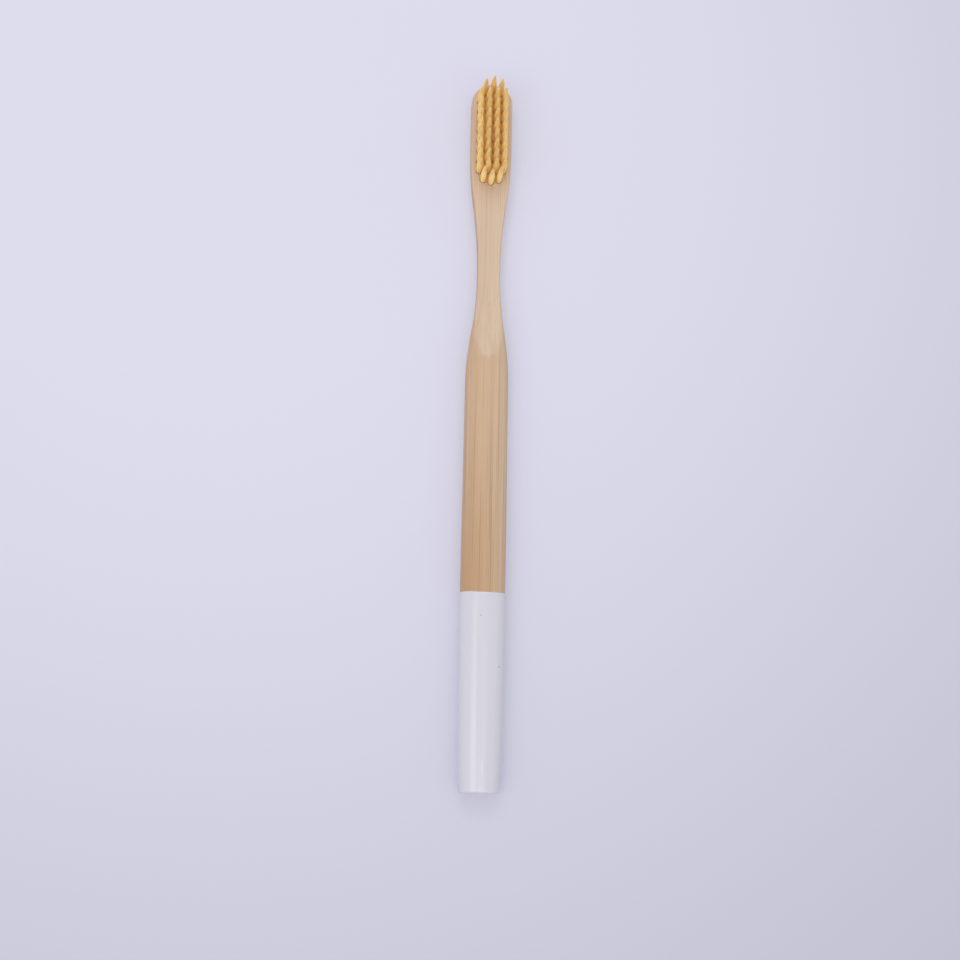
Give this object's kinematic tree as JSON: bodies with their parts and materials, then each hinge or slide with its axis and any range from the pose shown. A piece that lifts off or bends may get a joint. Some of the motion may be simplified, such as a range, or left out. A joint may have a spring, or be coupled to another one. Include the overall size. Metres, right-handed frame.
{
  "type": "manual toothbrush",
  "caption": "Manual toothbrush: slim oval bamboo handle with a milled flat neck and head, staggered rows of pointed tufts held by brass anchors, and a white dipped tail.",
  "frame": {"origin": "middle of the length and of the width, on the surface that the brush lies on with its bristles up", "axes": "+Y along the handle from the tail to the head, +Z the way the bristles point, +X to the right of the head seen from above"},
  "size_m": [0.012, 0.189, 0.016],
  "materials": {
    "bamboo": "fine-sanded bamboo with a thin wax, fibres along the handle",
    "dip_lacquer": "glossy white dipped lacquer",
    "anchor_brass": "flat drawn wire",
    "bristle": "golden yellow nylon filament, tapered and pointed"
  },
  "bodies": {
    "root": {"bamboo_handle": "bamboo", "tail_dip_coat": "dip_lacquer", "tuft_anchors": "anchor_brass", "bristle_tuft_01": "bristle", "bristle_tuft_02": "bristle", "bristle_tuft_03": "bristle", "bristle_tuft_04": "bristle", "bristle_tuft_05": "bristle", "bristle_tuft_06": "bristle", "bristle_tuft_07": "bristle", "bristle_tuft_08": "bristle", "bristle_tuft_09": "bristle", "bristle_tuft_10": "bristle", "bristle_tuft_11": "bristle", "bristle_tuft_12": "bristle", "bristle_tuft_13": "bristle", "bristle_tuft_14": "bristle", "bristle_tuft_15": "bristle", "bristle_tuft_16": "bristle", "bristle_tuft_17": "bristle", "bristle_tuft_18": "bristle", "bristle_tuft_19": "bristle", "bristle_tuft_20": "bristle", "bristle_tuft_21": "bristle", "bristle_tuft_22": "bristle", "bristle_tuft_23": "bristle", "bristle_tuft_24": "bristle", "bristle_tuft_25": "bristle", "bristle_tuft_26": "bristle", "bristle_tuft_27": "bristle", "bristle_tuft_28": "bristle", "bristle_tuft_29": "bristle", "bristle_tuft_30": "bristle", "bristle_tuft_31": "bristle", "bristle_tuft_32": "bristle", "bristle_tuft_33": "bristle", "bristle_tuft_34": "bristle", "bristle_tuft_35": "bristle", "bristle_tuft_36": "bristle", "bristle_tuft_37": "bristle", "bristle_tuft_38": "bristle"}
  },
  "joints": []
}
